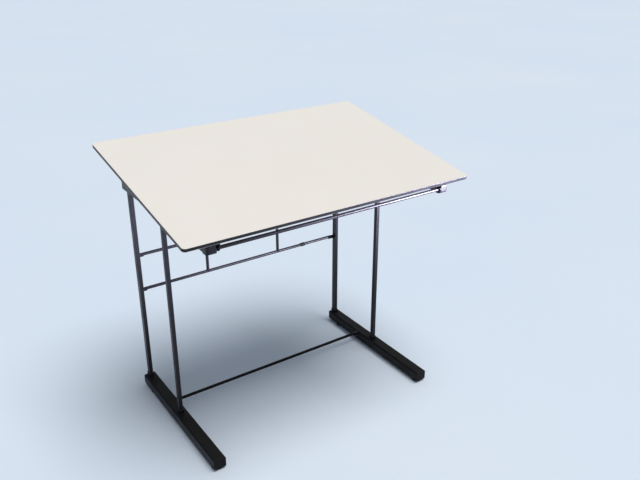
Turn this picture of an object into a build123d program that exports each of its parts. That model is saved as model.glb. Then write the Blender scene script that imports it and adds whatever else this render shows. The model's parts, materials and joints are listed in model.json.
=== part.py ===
from build123d import *
import os
from math import cos, radians, sin

# A drafting table: a laminated top tilts on a bar between two T-shaped side frames.
# Millimetres. +X is the user's right, +Y is away from the user and +Z is up.
# The origin is on the floor, under the middle of the table as it stands.
# Right-hand pieces are modelled and the left-hand ones are their mirror images.

# ---------------------------------------------------------------- driving sizes
# Tabletop
top_width = 914.0
top_depth = 610.0
face_thickness = 0.8
core_thickness = 8.4
back_thickness = 0.8
band_thickness = 1.2
top_corner_radius = 10.0

# Tilt: the hinge axis lies below the top's underside and a little behind its front edge
rest_tilt = 10.0
tilt_max = 45.0
front_overhang = 15.5
bearer_drop = 21.7

# Side frames
frame_half_width = 376.0
leg_width = 12.0
front_leg_depth = 14.0
rear_leg_depth = 19.0
leg_wall = 1.5
leg_height = 654.5
leg_spacing = 237.5
hinge_to_front_leg = 299.0
collar_wall = 2.0
collar_height = 10.0
collar_fit = 0.05

# Feet
foot_width = 38.0
foot_height = 32.5
foot_length = 511.5
foot_wall = 2.0
foot_edge_radius = 5.0
foot_cap_head = 3.0
cap_plug_depth = 4.0
cap_fit = 0.1

# Levelling glides
glide_height = 6.0
pad_diameter = 34.0
pad_thickness = 4.0
collar_flats = 15.0
glide_gap = 0.2
glide_stud_diameter = 8.0
glide_stud_length = 24.0
glide_insert_diameter = 15.0
glide_insert_height = 9.0
glide_front_offset = 21.0
glide_rear_offset = 55.0

# Arms
arm_width = 30.0
arm_height = 25.0
arm_past_leg = 10.0
arm_past_track = 10.0
arm_wall = 2.0
arm_edge_radius = 1.5
arm_nose = 5.5
hinge_above_arm_bottom = 11.0
block_length = 24.0
block_nose_radius = 8.0
block_spigot = 20.0
block_drop = 3.0
arm_cap_head = 3.0

# Round bars
bar_diameter = 10.0
bar_socket_depth = 20.0
bar_socket_fit = 0.05

# Ladder brace across the backs of the rear legs
brace_lower_z = 350.0
brace_rise = 120.0
brace_upright_x = 136.0
brace_tab_thickness = 3.0
brace_tab_height = 12.0
brace_tab_reach = 4.0
brace_tab_lap = 14.0
sleeve_x = 241.0
sleeve_diameter = 13.0
sleeve_length = 16.0

# Stretcher between the feet
stretcher_ahead_of_rear_leg = 166.0
stretcher_above_foot_bottom = 23.5
stretcher_insert = 12.0
stretcher_nut_flats = 15.0
stretcher_nut_thickness = 5.0

# Bearers under the top
bearer_thickness = 3.0
bearer_flange = 25.0
bearer_length = 575.0
bearer_front_margin = 5.5
bearer_web_rear = 9.7
bearer_eye_radius = 8.5
bearer_side_gap = 1.0
bush_diameter = 13.0
bush_rim_diameter = 16.0
bush_rim = 0.8
running_fit = 0.1

# Stiffening battens under the top
batten_width = 32.0
batten_thickness = 12.0
batten_front = 40.0
batten_rear = 535.0
batten_gap = 1.0

# Tilt props, their tracks on the arms and their clamp knobs
prop_length = 250.0
prop_width = 18.0
prop_thickness = 4.0
prop_gap = 0.5
pivot_diameter = 8.0
pivot_nut_flats = 13.0
pivot_nut_thickness = 4.0
pivot_play = 0.2
track_standoff = 7.0
track_bar_thickness = 3.0
track_bar_height = 6.0
track_play = 0.3
track_end_margin = 1.0
track_block_length = 8.0
clamp_diameter = 8.0
clamp_head_diameter = 16.0
clamp_head_thickness = 4.0
clamp_thread_length = 10.0
washer_diameter = 18.0
washer_thickness = 1.5
knob_diameter = 30.0
knob_lobes = 5
knob_lobe_radius = 5.0
knob_thickness = 15.0
knob_hub_diameter = 17.0
knob_hub_thickness = 4.0

# Rest bumpers on the arms
bumper_diameter = 16.0
bumper_clearance = 0.2
bumper_front = 120.0
bumper_rear_margin = 25.0

# Retaining rings on the hinge bar
ring_diameter = 14.0
ring_thickness = 2.0

# Fasteners
leg_bolt_diameter = 6.0
leg_bolt_head_diameter = 12.0
leg_bolt_head = 3.0
leg_plug_length = 20.0
leg_bolt_reach = 16.0
wood_screw_diameter = 4.0
wood_screw_head_diameter = 8.0
wood_screw_head = 2.0
wood_screw_depth = 7.0
bearer_screw_pitch = 162.0
bearer_screw_count = 4
bearer_screw_first = 27.0
brace_screw_diameter = 4.0
brace_screw_head_diameter = 8.5
brace_screw_head = 2.5
screw_fit = 0.05

# ---------------------------------------------------------------- places
top_thickness = face_thickness + core_thickness + back_thickness
rest_cos = cos(radians(rest_tilt))
rest_sin = sin(radians(rest_tilt))

foot_bottom = glide_height
foot_top = foot_bottom + foot_height
arm_bottom = foot_top + leg_height
arm_top = arm_bottom + arm_height
hinge_z = arm_bottom + hinge_above_arm_bottom

# The table's box is centred on the origin from front to back: its front is the top edge
# of the tabletop's near side and its back is the bottom edge of the far side.
front_from_hinge = -front_overhang * rest_cos - (bearer_drop + top_thickness) * rest_sin
rear_from_hinge = (top_depth - front_overhang) * rest_cos - bearer_drop * rest_sin
hinge_y = -(front_from_hinge + rear_from_hinge) / 2

front_leg_y = hinge_y + hinge_to_front_leg
rear_leg_y = front_leg_y + leg_spacing
foot_rear = rear_leg_y + rear_leg_depth / 2 + collar_wall
foot_front = foot_rear - foot_length
arm_front = hinge_y - arm_nose

arm_inner = frame_half_width - arm_width / 2
foot_inner = frame_half_width - foot_width / 2
web_outer = arm_inner - bearer_side_gap
web_inner = web_outer - bearer_thickness
track_outer = arm_inner - track_standoff
track_inner = track_outer - track_bar_thickness
prop_outer = track_inner - prop_gap
prop_inner = prop_outer - prop_thickness

underside_z = hinge_z + bearer_drop
prop_pivot_y = hinge_y + prop_length
clamp_flat_y = hinge_y + 2 * prop_length
clamp_steep_y = hinge_y + 2 * prop_length * cos(radians(tilt_max))

# The clamp's stud slides in a slot, and its head has room between the slot's end blocks.
track_slot = clamp_diameter + 2 * track_play
track_reach = clamp_head_diameter / 2 + track_end_margin
track_front = clamp_steep_y - track_reach
track_rear = clamp_flat_y + track_reach

# The arm carries the rear leg and the whole track, whichever reaches further back.
arm_rear = max(
    rear_leg_y + rear_leg_depth / 2 + arm_past_leg,
    track_rear + track_block_length + arm_past_track,
)

hinge_axis = Axis((0, hinge_y, hinge_z), (1, 0, 0))
prop_axis = Axis((0, prop_pivot_y, hinge_z), (1, 0, 0))

legs = {
    "front": (front_leg_y, front_leg_depth),
    "rear": (rear_leg_y, rear_leg_depth),
}
glide_places = {
    "front": foot_front + glide_front_offset,
    "rear": foot_rear - glide_rear_offset,
}

nodes = {}


# ---------------------------------------------------------------- helpers
def block(x, y, z):
    """A box given by its lowest and highest value along each axis."""
    size = Box(x[1] - x[0], y[1] - y[0], z[1] - z[0])
    return Pos((x[0] + x[1]) / 2, (y[0] + y[1]) / 2, (z[0] + z[1]) / 2) * size


def bar_x(x, y, z, diameter):
    """A round bar along X from x[0] to x[1]."""
    middle = Pos((x[0] + x[1]) / 2, y, z) * Rot(0, 90, 0)
    return middle * Cylinder(diameter / 2, x[1] - x[0])


def bar_z(x, y, z, diameter):
    """A round bar along Z from z[0] to z[1]."""
    return Pos(x, y, (z[0] + z[1]) / 2) * Cylinder(diameter / 2, z[1] - z[0])


def ring_x(x, y, z, outer, inner):
    """A ring along X from x[0] to x[1]."""
    return bar_x(x, y, z, outer) - bar_x(x, y, z, inner)


def hex_x(x, y, z, flats, bore):
    """A hexagon nut along X from x[0] to x[1]."""
    outline = RegularPolygon(flats / 2, 6, major_radius=False)
    nut = Pos(x[0], y, z) * Rot(0, 90, 0) * extrude(outline, x[1] - x[0])
    return nut - bar_x(x, y, z, bore)


def tube_y(width, height, radius, wall, y, centre):
    """A rectangular tube along Y with rounded long edges."""
    outer = RectangleRounded(width, height, radius)
    inner_radius = max(radius - wall, 0.3)
    inner = RectangleRounded(width - 2 * wall, height - 2 * wall, inner_radius)
    profile = Plane.XZ * (outer - inner)
    return Pos(centre[0], y[0], centre[1]) * extrude(profile, -(y[1] - y[0]))


def plug_y(width, height, radius, y, centre):
    """A solid bar along Y with rounded long edges."""
    profile = Plane.XZ * RectangleRounded(width, height, radius)
    return Pos(centre[0], y[0], centre[1]) * extrude(profile, -(y[1] - y[0]))


def mirrored(part):
    return mirror(part, about=Plane.YZ)


def as_tilted(part):
    """A piece made with the top flat, turned with the top to its rest tilt."""
    return part.rotate(hinge_axis, rest_tilt)


def as_propped(part):
    """A piece made with the prop flat, turned with the prop to the rest tilt."""
    return as_tilted(part.rotate(prop_axis, -2 * rest_tilt))


def keep(name, *solids):
    """A node of one or more separate solids."""
    flat = [solid for part in solids for solid in part.solids()]
    nodes[name] = flat[0] if len(flat) == 1 else Compound(children=flat)


def keep_pair(name, part):
    """A right-hand node and its mirror image on the left."""
    keep(name + "_right", part)
    keep(name + "_left", mirrored(part))


def keep_both(name, *parts):
    """One node that holds right-hand solids and their mirror images."""
    keep(name, *parts, *[mirrored(part) for part in parts])


# ---------------------------------------------------------------- tabletop
def top_sheet(inset, bottom, thickness):
    """One flat layer of the top, smaller all round by inset."""
    outline = RectangleRounded(top_width - 2 * inset, top_depth - 2 * inset, top_corner_radius - inset)
    middle_y = hinge_y - front_overhang + top_depth / 2
    return Pos(0, middle_y, bottom) * extrude(outline, thickness)


def bearer_screw_places():
    x = (web_inner + web_outer - bearer_flange) / 2
    for index in range(bearer_screw_count):
        yield x, hinge_y + bearer_screw_first + index * bearer_screw_pitch


def batten_screw_places():
    for start in (batten_front, batten_rear):
        for share in (0.3, 0.9):
            x = (web_outer - bearer_flange - batten_gap) * share
            yield x, hinge_y + start + batten_width / 2


def wood_screw(x, y, seat_z, tip_z):
    """A round-headed wood screw that points up from its seat."""
    head = bar_z(x, y, (seat_z - wood_screw_head, seat_z), wood_screw_head_diameter)
    head = fillet(head.edges().filter_by(GeomType.CIRCLE).sort_by(Axis.Z)[0], wood_screw_head * 0.7)
    return head + bar_z(x, y, (seat_z, tip_z), wood_screw_diameter)


def screw_hole(x, y, z):
    return bar_z(x, y, z, wood_screw_diameter + 2 * screw_fit)


def make_top():
    back = top_sheet(0, underside_z, back_thickness)
    core_z = underside_z + back_thickness
    core = top_sheet(band_thickness, core_z, core_thickness)
    band = top_sheet(0, core_z, core_thickness) - core
    face = top_sheet(0, core_z + core_thickness, face_thickness)
    tip_z = underside_z + wood_screw_depth
    for x, y in [*bearer_screw_places(), *batten_screw_places()]:
        for side in (-x, x):
            hole = screw_hole(side, y, (underside_z, tip_z + screw_fit))
            core = core - hole
            back = back - hole
    keep("top_back_laminate", as_tilted(back))
    keep("top_core", as_tilted(core))
    keep("top_edge_band", as_tilted(band))
    keep("top_face_laminate", as_tilted(face))


def make_bearers():
    """An angle under each side of the top, with a deep web from the hinge to the prop."""
    front = hinge_y - front_overhang + bearer_front_margin
    rear = front + bearer_length
    web = (web_inner, web_outer)
    eye = 2 * bearer_eye_radius
    flange = (web_outer - bearer_flange, web_outer)
    bearer = block(flange, (front, rear), (underside_z - bearer_thickness, underside_z))
    bearer += block(web, (front, rear), (underside_z - bearer_web_rear, underside_z))
    deep = (hinge_y - bearer_eye_radius, prop_pivot_y + bearer_eye_radius)
    bearer += block(web, deep, (hinge_z, underside_z))
    bearer += block(web, (hinge_y, prop_pivot_y), (hinge_z - bearer_eye_radius, hinge_z))
    bearer += bar_x(web, hinge_y, hinge_z, eye)
    bearer += bar_x(web, prop_pivot_y, hinge_z, eye)
    bearer -= bar_x(web, hinge_y, hinge_z, bush_diameter)
    bearer -= bar_x(web, prop_pivot_y, hinge_z, pivot_diameter)
    for x, y in bearer_screw_places():
        bearer -= screw_hole(x, y, (underside_z - bearer_thickness, underside_z))
    keep_pair("top_bearer", as_tilted(bearer))
    screws = [
        wood_screw(x, y, underside_z - bearer_thickness, underside_z + wood_screw_depth)
        for x, y in bearer_screw_places()
    ]
    keep_both("bearer_screws", *[as_tilted(screw) for screw in screws])


def make_bushes():
    bore = bar_diameter + 2 * running_fit
    bush = ring_x((web_inner, web_outer), hinge_y, hinge_z, bush_diameter, bore)
    bush += ring_x((web_outer, web_outer + bush_rim), hinge_y, hinge_z, bush_rim_diameter, bore)
    keep_both("hinge_bushes", as_tilted(bush))


def make_battens():
    half = web_outer - bearer_flange - batten_gap
    seat = underside_z - batten_thickness
    for name, start in (("front", batten_front), ("rear", batten_rear)):
        y = (hinge_y + start, hinge_y + start + batten_width)
        batten = block((-half, half), y, (seat, underside_z))
        lower = batten.faces().sort_by(Axis.Z)[0].edges()
        batten = chamfer(lower, 2.0)
        for x, screw_y in batten_screw_places():
            if y[0] < screw_y < y[1]:
                for side in (-x, x):
                    batten -= screw_hole(side, screw_y, (seat, underside_z))
        keep(name + "_batten", as_tilted(batten))
    screws = [
        wood_screw(x, y, seat, underside_z + wood_screw_depth)
        for x, y in batten_screw_places()
    ]
    keep_both("batten_screws", *[as_tilted(screw) for screw in screws])


def make_prop_pivots():
    """A stud flush with the bearer's outer face, then a spacer, the prop and a nut."""
    nut_outer = prop_inner - pivot_play
    nut_inner = nut_outer - pivot_nut_thickness
    spacer = ring_x((prop_outer + pivot_play, web_inner), prop_pivot_y, hinge_z,
                    pivot_nut_flats, pivot_diameter)
    nut = hex_x((nut_inner, nut_outer), prop_pivot_y, hinge_z, pivot_nut_flats, pivot_diameter)
    stud = bar_x((nut_inner, web_outer), prop_pivot_y, hinge_z, pivot_diameter)
    keep_pair("prop_pivot_stud", as_tilted(stud))
    keep_both("prop_pivot_nuts", as_tilted(spacer), as_tilted(nut))


# ---------------------------------------------------------------- tilt props
def make_props():
    """A flat bar as long between centres as the hinge is from its upper pivot."""
    x = (prop_inner, prop_outer)
    prop = block(x, (prop_pivot_y, clamp_flat_y), (hinge_z - prop_width / 2, hinge_z + prop_width / 2))
    prop += bar_x(x, prop_pivot_y, hinge_z, prop_width)
    prop += bar_x(x, clamp_flat_y, hinge_z, prop_width)
    prop -= bar_x(x, prop_pivot_y, hinge_z, pivot_diameter + 2 * running_fit)
    prop -= bar_x(x, clamp_flat_y, hinge_z, clamp_diameter)
    keep_pair("tilt_prop", as_propped(prop))


def make_clamps():
    """A stud whose round head runs behind the track, with its washer and star knob."""
    y, z = clamp_flat_y, hinge_z
    middle = (arm_inner + track_outer) / 2
    head = (middle - clamp_head_thickness / 2, middle + clamp_head_thickness / 2)
    washer_inner = prop_inner - washer_thickness
    tip = washer_inner - clamp_thread_length
    stud = bar_x(head, y, z, clamp_head_diameter)
    stud += bar_x((tip, head[0]), y, z, clamp_diameter)
    washer = ring_x((washer_inner, prop_inner), y, z, washer_diameter, clamp_diameter)
    keep_pair("clamp_stud", as_propped(stud))
    keep_pair("clamp_washer", as_propped(washer))
    keep_pair("clamp_knob", as_propped(star_knob(washer_inner, y, z)))


def star_knob(seat, y, z):
    """A lobed hand knob whose boss points outwards to its seat."""
    lobe_ring = knob_diameter / 2 - knob_lobe_radius
    outline = Circle(lobe_ring)
    for place in PolarLocations(lobe_ring, knob_lobes):
        outline += place * Circle(knob_lobe_radius)
    outline = fillet(outline.vertices(), 2.0)
    grip_inner = seat - knob_thickness
    grip_outer = seat - knob_hub_thickness
    grip = extrude(outline, grip_outer - grip_inner)
    rims = grip.faces().filter_by(Axis.Z).edges()
    grip = fillet(rims, 1.5)
    knob = Pos(grip_inner, y, z) * Rot(0, 90, 0) * grip
    knob += bar_x((grip_outer, seat), y, z, knob_hub_diameter)
    bore = clamp_diameter + 2 * running_fit
    return knob - bar_x((seat - clamp_thread_length - pivot_play, seat), y, z, bore)


def make_tracks():
    """Two flat bars, held off the arm by end blocks, with the clamp's slot between them."""
    y = (track_front - track_block_length, track_rear + track_block_length)
    x = (track_inner, track_outer)
    upper = hinge_z + track_slot / 2
    lower = hinge_z - track_slot / 2
    keep_pair("track_upper_bar", block(x, y, (upper, upper + track_bar_height)))
    keep_pair("track_lower_bar", block(x, y, (lower - track_bar_height, lower)))
    z = (lower - track_bar_height, upper + track_bar_height)
    blocks = [
        block((track_outer, arm_inner), (y[0], track_front), z),
        block((track_outer, arm_inner), (track_rear, y[1]), z),
    ]
    keep_both("track_end_blocks", *blocks)


# ---------------------------------------------------------------- arms
def make_arms():
    centre = (frame_half_width, (arm_bottom + arm_top) / 2)
    y = (arm_front + block_length, arm_rear - arm_cap_head)
    arm = tube_y(arm_width, arm_height, arm_edge_radius, arm_wall, y, centre)
    keep_pair("side_arm", arm)
    inner_width = arm_width - 2 * arm_wall - 2 * cap_fit
    inner_height = arm_height - 2 * arm_wall - 2 * cap_fit
    cap = plug_y(arm_width, arm_height, arm_edge_radius, (y[1], arm_rear), centre)
    cap += plug_y(inner_width, inner_height, 0.5, (y[1] - cap_plug_depth, y[1]), centre)
    keep_both("arm_caps", cap)

    nose_centre = (centre[0], centre[1] - block_drop / 2)
    nose = plug_y(arm_width, arm_height + block_drop, arm_edge_radius, (arm_front, y[0]), nose_centre)
    front = nose.faces().sort_by(Axis.Y)[0]
    corner_edges = front.edges().filter_by(Axis.Z)
    nose = fillet(corner_edges, block_nose_radius)
    spigot = plug_y(inner_width, inner_height, 0.5, (y[0], y[0] + block_spigot), centre)
    socket = bar_x((arm_inner - 1, arm_inner + bar_socket_depth), hinge_y, hinge_z,
                   bar_diameter + 2 * bar_socket_fit)
    keep_pair("pivot_block", nose + spigot - socket)


def make_hinge_bar():
    end = arm_inner + bar_socket_depth - bar_socket_fit
    keep("front_cross_bar", bar_x((-end, end), hinge_y, hinge_z, bar_diameter))
    outer = web_inner - pivot_play
    ring = ring_x((outer - ring_thickness, outer), hinge_y, hinge_z, ring_diameter, bar_diameter)
    keep_both("bar_retaining_rings", ring)


def make_bumpers():
    height = underside_z - arm_top - bumper_clearance
    bumpers = []
    for y in (hinge_y + bumper_front, arm_rear - bumper_rear_margin):
        bumper = bar_z(frame_half_width, y, (arm_top, arm_top + height), bumper_diameter)
        rim = bumper.edges().filter_by(GeomType.CIRCLE).sort_by(Axis.Z)[-1]
        bumpers.append(fillet(rim, 2.5))
    keep_both("rest_bumpers", *bumpers)


# ---------------------------------------------------------------- legs
def make_legs():
    for name, (y, depth) in legs.items():
        outer = Rectangle(leg_width, depth)
        outer = fillet(outer.vertices(), 1.0)
        inner = Rectangle(leg_width - 2 * leg_wall, depth - 2 * leg_wall)
        leg = Pos(frame_half_width, y, foot_top) * extrude(outer - inner, leg_height)
        if name == "rear":
            for z in (brace_lower_z, brace_lower_z + brace_rise):
                leg -= brace_screw_hole(z)
        keep_pair(name + "_leg", leg)


def brace_screw_hole(z):
    hole = Cylinder(brace_screw_diameter / 2 + screw_fit, rear_leg_depth)
    back = rear_leg_y + rear_leg_depth / 2
    return Pos(frame_half_width, back, z) * Rot(90, 0, 0) * hole


def make_leg_collars():
    collars = []
    for y, depth in legs.values():
        outer = RectangleRounded(leg_width + 2 * collar_wall, depth + 2 * collar_wall, 2.0)
        inner = Rectangle(leg_width + 2 * collar_fit, depth + 2 * collar_fit)
        collar = extrude(outer - inner, collar_height)
        upper = collar.faces().sort_by(Axis.Z)[-1].outer_wire().edges()
        collars.append(Pos(frame_half_width, y, foot_top) * chamfer(upper, 0.8))
    keep_both("leg_collars", *collars)


def make_leg_fixings():
    """A threaded plug in the bottom of each leg and a bolt up through the foot."""
    plugs = []
    bolts = []
    for y, depth in legs.values():
        size = (leg_width - 2 * leg_wall - 2 * screw_fit, depth - 2 * leg_wall - 2 * screw_fit)
        plug = Pos(frame_half_width, y, foot_top) * extrude(Rectangle(*size), leg_plug_length)
        shank = (foot_bottom, foot_top + leg_bolt_reach)
        bore = (foot_top, foot_top + leg_bolt_reach + screw_fit)
        plug -= bar_z(frame_half_width, y, bore, leg_bolt_diameter + 2 * screw_fit)
        bolt = bar_z(frame_half_width, y, shank, leg_bolt_diameter)
        bolt += bar_z(frame_half_width, y, (foot_bottom - leg_bolt_head, foot_bottom), leg_bolt_head_diameter)
        plugs.append(plug)
        bolts.append(bolt)
    keep_both("leg_plugs", *plugs)
    keep_both("leg_bolts", *bolts)


# ---------------------------------------------------------------- feet
def make_feet():
    centre = (frame_half_width, (foot_bottom + foot_top) / 2)
    y = (foot_front + foot_cap_head, foot_rear - foot_cap_head)
    foot = tube_y(foot_width, foot_height, foot_edge_radius, foot_wall, y, centre)
    for leg_y, _ in legs.values():
        hole = leg_bolt_diameter + 2 * screw_fit
        foot -= bar_z(frame_half_width, leg_y, (foot_bottom - 1, foot_top + 1), hole)
    for glide_y in glide_places.values():
        hole = glide_stud_diameter + 4 * running_fit
        foot -= bar_z(frame_half_width, glide_y, (foot_bottom - 1, foot_bottom + foot_wall + 1), hole)
    foot -= bar_x((foot_inner - 1, foot_inner + foot_wall + 1), stretcher_y(), stretcher_z(),
                  bar_diameter + 2 * screw_fit)
    keep_pair("foot_beam", foot)

    inner_width = foot_width - 2 * foot_wall - 2 * cap_fit
    inner_height = foot_height - 2 * foot_wall - 2 * cap_fit
    plug_radius = foot_edge_radius - foot_wall
    for name, seat, tip, plug_end in (
        ("front", y[0], foot_front, y[0] + cap_plug_depth),
        ("rear", y[1], foot_rear, y[1] - cap_plug_depth),
    ):
        cap = plug_y(foot_width, foot_height, foot_edge_radius, sorted((seat, tip)), centre)
        far = cap.faces().sort_by(Axis.Y)[0 if name == "front" else -1]
        cap = chamfer(far.edges(), 1.0)
        cap += plug_y(inner_width, inner_height, plug_radius, sorted((seat, plug_end)), centre)
        keep_both("foot_caps_" + name, cap)


def stretcher_y():
    return rear_leg_y - stretcher_ahead_of_rear_leg


def stretcher_z():
    return foot_bottom + stretcher_above_foot_bottom


def make_stretcher():
    y, z = stretcher_y(), stretcher_z()
    end = foot_inner + stretcher_insert
    keep("foot_stretcher_rod", bar_x((-end, end), y, z, bar_diameter))
    nut = hex_x((foot_inner - stretcher_nut_thickness, foot_inner), y, z,
                stretcher_nut_flats, bar_diameter)
    keep_both("stretcher_nuts", nut)


def make_glides():
    """A plastic pad on a threaded stud that screws into an insert in the foot."""
    inserts = []
    floor_z = foot_bottom + foot_wall
    for name, y in glide_places.items():
        pad = bar_z(frame_half_width, y, (0, pad_thickness), pad_diameter)
        pad = chamfer(pad.edges().filter_by(GeomType.CIRCLE), 0.8)
        nut = Pos(frame_half_width, y, pad_thickness) * extrude(
            RegularPolygon(collar_flats / 2, 6, major_radius=False),
            glide_height - glide_gap - pad_thickness)
        stud = bar_z(frame_half_width, y, (pad_thickness, pad_thickness + glide_stud_length),
                     glide_stud_diameter)
        keep_pair("levelling_glide_" + name, pad + nut + stud)
        insert = bar_z(frame_half_width, y, (floor_z, floor_z + glide_insert_height),
                       glide_insert_diameter)
        inserts.append(insert - bar_z(frame_half_width, y, (floor_z, floor_z + glide_insert_height),
                                      glide_stud_diameter + 2 * running_fit))
    keep_both("glide_inserts", *inserts)


# ---------------------------------------------------------------- ladder brace
def make_brace():
    """Two rods with flattened ends screwed to the rear legs, and two uprights between them."""
    back = rear_leg_y + rear_leg_depth / 2
    rod_y = back + bar_diameter / 2
    round_end = frame_half_width - leg_width / 2 - brace_tab_reach
    tab_end = frame_half_width + brace_tab_reach
    tab_start = round_end - brace_tab_lap
    rods = {}
    screws = []
    for name, z in (("lower", brace_lower_z), ("upper", brace_lower_z + brace_rise)):
        rod = bar_x((-round_end, round_end), rod_y, z, bar_diameter)
        tab = block((tab_start, tab_end), (back, back + brace_tab_thickness),
                    (z - brace_tab_height / 2, z + brace_tab_height / 2))
        hole = Pos(frame_half_width, back, z) * Rot(90, 0, 0) * Cylinder(
            brace_screw_diameter / 2 + screw_fit, 4 * brace_tab_thickness)
        tab -= hole
        rods[name] = rod + tab + mirrored(tab)
        keep("brace_" + name + "_rod", rods[name])
        screws.append(brace_screw(back + brace_tab_thickness, z))
    keep_both("brace_screws", *screws)

    upright = bar_z(brace_upright_x, rod_y, (brace_lower_z, brace_lower_z + brace_rise), bar_diameter)
    upright = upright - rods["lower"] - rods["upper"]
    keep_pair("brace_upright", upright)
    x = (sleeve_x - sleeve_length / 2, sleeve_x + sleeve_length / 2)
    sleeve = ring_x(x, rod_y, brace_lower_z, sleeve_diameter, bar_diameter)
    keep("brace_sleeve", sleeve)


def brace_screw(seat_y, z):
    head = Cylinder(brace_screw_head_diameter / 2, brace_screw_head)
    rim = head.edges().filter_by(GeomType.CIRCLE).sort_by(Axis.Z)[-1]
    head = Pos(0, 0, brace_screw_head / 2) * fillet(rim, brace_screw_head * 0.6)
    length = brace_tab_thickness + 2 * leg_wall
    shank = Pos(0, 0, -length / 2) * Cylinder(brace_screw_diameter / 2, length)
    return Pos(frame_half_width, seat_y, z) * Rot(-90, 0, 0) * (head + shank)


# ---------------------------------------------------------------- build
make_top()
make_bearers()
make_bushes()
make_battens()
make_prop_pivots()
make_props()
make_clamps()
make_tracks()
make_arms()
make_hinge_bar()
make_bumpers()
make_legs()
make_leg_collars()
make_leg_fixings()
make_feet()
make_stretcher()
make_glides()
make_brace()

os.makedirs("parts", exist_ok=True)
for node_name, shape in nodes.items():
    export_step(shape, "parts/" + node_name + ".step")
print(len(nodes), "nodes; hinge at y", round(hinge_y, 3), "z", round(hinge_z, 3))
print("prop pivot at rest", [round(v, 3) for v in (
    hinge_y + prop_length * rest_cos, hinge_z + prop_length * rest_sin)])
print("clamp at rest", round(hinge_y + 2 * prop_length * rest_cos, 3), round(hinge_z, 3))
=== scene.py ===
# %% [markdown]
# # A drafting table in Blender
# This lesson dresses a finished steel and laminate drafting table for a studio picture.
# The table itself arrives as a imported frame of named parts, already in place and in metres.
# Nothing here moves or resizes a part. The work is in softening edges, adding the small things
# that a maker leaves behind, such as weld beads and screw sockets, and giving each finish
# its own material.

# %% Load the frame
import json
from math import atan2, cos, pi, radians, sin, sqrt

import bmesh
import bpy
from mathutils import Matrix, Vector


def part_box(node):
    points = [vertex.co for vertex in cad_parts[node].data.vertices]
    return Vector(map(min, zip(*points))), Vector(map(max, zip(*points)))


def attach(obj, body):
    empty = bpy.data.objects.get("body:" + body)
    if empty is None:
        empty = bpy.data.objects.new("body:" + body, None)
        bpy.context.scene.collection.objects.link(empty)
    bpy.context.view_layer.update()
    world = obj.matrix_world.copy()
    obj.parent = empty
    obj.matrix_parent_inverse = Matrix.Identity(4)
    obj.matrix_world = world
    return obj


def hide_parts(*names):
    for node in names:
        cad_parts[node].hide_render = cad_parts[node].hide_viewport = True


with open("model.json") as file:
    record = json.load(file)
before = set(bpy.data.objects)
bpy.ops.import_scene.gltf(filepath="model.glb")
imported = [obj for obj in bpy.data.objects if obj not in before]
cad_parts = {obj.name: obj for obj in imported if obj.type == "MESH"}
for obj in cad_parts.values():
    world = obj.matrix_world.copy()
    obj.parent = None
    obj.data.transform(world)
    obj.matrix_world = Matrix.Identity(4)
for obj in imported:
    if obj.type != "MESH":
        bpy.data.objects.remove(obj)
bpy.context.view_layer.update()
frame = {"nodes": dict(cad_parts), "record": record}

mm = 0.001  # one millimetre in metres
print("parts in the frame:", len(frame["nodes"]))

# %% [markdown]
# ## Where things are
# Every place is read from the frame. The top leans back a little at rest, so its own
# directions are needed for anything that is fixed square to it. The flat face that is
# declared as the working surface gives them: its normal is the top's upward direction.

# %% Read the top's lean and each part's body
mounts = {mount["name"]: mount for mount in frame["record"]["mounts"]}
top_normal = Vector(mounts["work_surface"]["axis"]).normalized()
lean = atan2(-top_normal.y, top_normal.z)
bodies = frame["record"]["behaviour"]["bodies"]
body_of_part = {part: body for body, parts in bodies.items() for part in parts}
print("the top leans back by", round(lean * 180 / pi, 2), "degrees")

# %% [markdown]
# ## Softened edges
# Real edges are never perfectly sharp. Tube corners are rolled, cut bars are deburred and
# moulded caps have a small radius, and each of those catches a thin line of light. A bevel
# on a copy of the part gives that line. The copy's loose triangles are joined first, flat
# faces are cleaned, and only edges that turn sharply are cut. The new narrow faces carry
# an attribute named edge_rub, so that a material can wear its paint there.

# %% A helper that makes a softened copy of a part
sharp_angle = radians(32)  # a turn past this is a real edge and gets a bevel
flat_angle = radians(0.6)  # a turn under this is only the joint of two flat triangles
shading_angle = radians(40)  # a turn past this stays crisp in the shading
doubled_corner = 0.002 * mm


def joined_copy(part):
    """The part's mesh as one clean bmesh with its doubled corners merged."""
    bm = bmesh.new()
    bm.from_mesh(frame["nodes"][part].data)
    bmesh.ops.remove_doubles(bm, verts=bm.verts, dist=doubled_corner)
    bmesh.ops.dissolve_limit(
        bm, angle_limit=flat_angle, use_dissolve_boundaries=False,
        verts=bm.verts, edges=bm.edges,
    )
    return bm


def is_sharp(edge):
    return len(edge.link_faces) == 2 and edge.calc_face_angle(0) > sharp_angle


def bevel_sharp_edges(bm, width, segments):
    rub = bm.faces.layers.float.new("edge_rub")
    made = bmesh.ops.bevel(
        bm,
        geom=[edge for edge in bm.edges if is_sharp(edge)],
        offset=width,
        offset_type="OFFSET",
        affect="EDGES",
        segments=segments,
        profile=0.5,
        material=-1,
        clamp_overlap=True,
    )
    for face in made["faces"]:
        face[rub] = 1.0


def finished_piece(name, bm, body):
    """Writes the bmesh to a new object that rides on a body, smooth but for its sharp edges."""
    mesh = bpy.data.meshes.new(name)
    bm.to_mesh(mesh)
    bm.free()
    mesh.shade_smooth()
    mesh.set_sharp_from_angle(angle=shading_angle)
    piece = bpy.data.objects.new(name, mesh)
    bpy.context.scene.collection.objects.link(piece)
    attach(piece, body)
    return piece


def even_normals(piece):
    """Large flat faces keep flat shading beside their narrow bevels."""
    modifier = piece.modifiers.new("even_normals", "WEIGHTED_NORMAL")
    modifier.keep_sharp = True
    modifier.weight = 60


def softened(part, width, segments=2):
    bm = joined_copy(part)
    bevel_sharp_edges(bm, width * mm, segments)
    piece = finished_piece("soft_" + part, bm, body_of_part[part])
    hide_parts(part)
    even_normals(piece)
    return piece


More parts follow.
